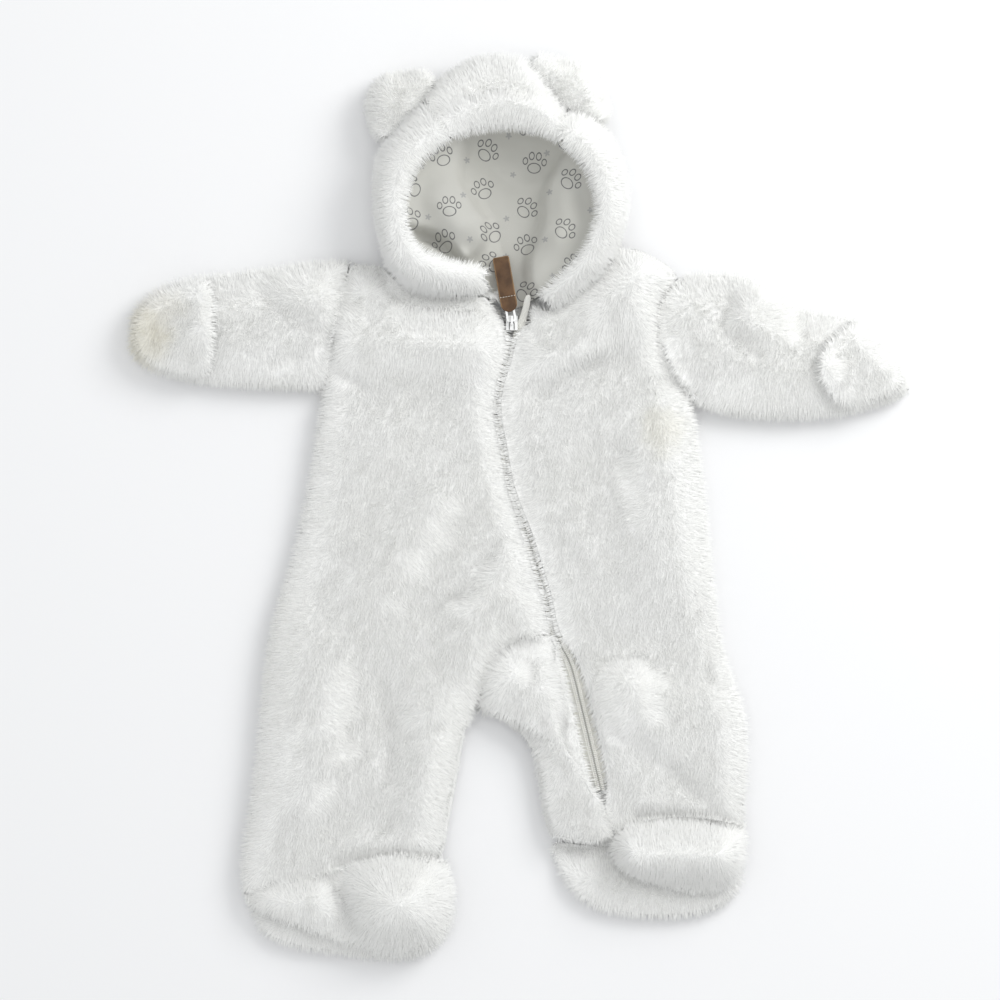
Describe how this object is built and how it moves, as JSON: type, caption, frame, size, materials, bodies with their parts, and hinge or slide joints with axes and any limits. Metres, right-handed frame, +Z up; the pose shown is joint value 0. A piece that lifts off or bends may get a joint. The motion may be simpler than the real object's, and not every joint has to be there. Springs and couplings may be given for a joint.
{
  "type": "baby snowsuit",
  "caption": "Baby's plush all-in-one lying flat on its back: bear-eared hood with a printed lining, slanting front zip with a leather pull, fold-over mitts, closed feet.",
  "frame": {"origin": "on the surface the suit lies on, under the middle of the whole", "axes": "+Y towards the hood, +X towards the wearer's left sleeve, +Z up out of the front"},
  "size_m": [0.589, 0.6802, 0.055],
  "materials": {
    "plush": "long soft polyester pile, off-white",
    "lining": "smooth cotton jersey, off-white with a thin grey print",
    "tape": "woven polyester tape, cream",
    "teeth": "nylon coil, cream",
    "enamel": "white enamel",
    "leather": "brown, waxed, with worn paler edges"
  },
  "bodies": {
    "garment": {"back_right": "plush", "back_left": "plush", "front_right": "plush", "front_left": "plush", "gusset_left": "plush", "sleeve_right": "plush", "sleeve_left": "plush", "mitt_right": "plush", "mitt_left": "plush", "sole_right": "plush", "sole_left": "plush", "foot_right": "plush", "foot_left": "plush", "hood_back": "plush", "hood_side_right": "plush", "hood_crown": "plush", "hood_side_left": "plush", "hood_lining": "lining", "ear_right": "plush", "ear_left": "plush", "zip_tape_right": "tape", "zip_tape_left": "tape", "zip_chain": "teeth", "zip_slider": "enamel"},
    "pull": {"zip_link": "enamel", "pull_tab": "leather"}
  },
  "joints": [
    {"name": "pull_swing", "type": "hinge", "parent": "garment", "child": "pull", "pos_m": [-0.0066, 0.13785, 0.0193], "axis": [0.9848, 0.1736, 0], "range_deg": [0, 150]}
  ]
}
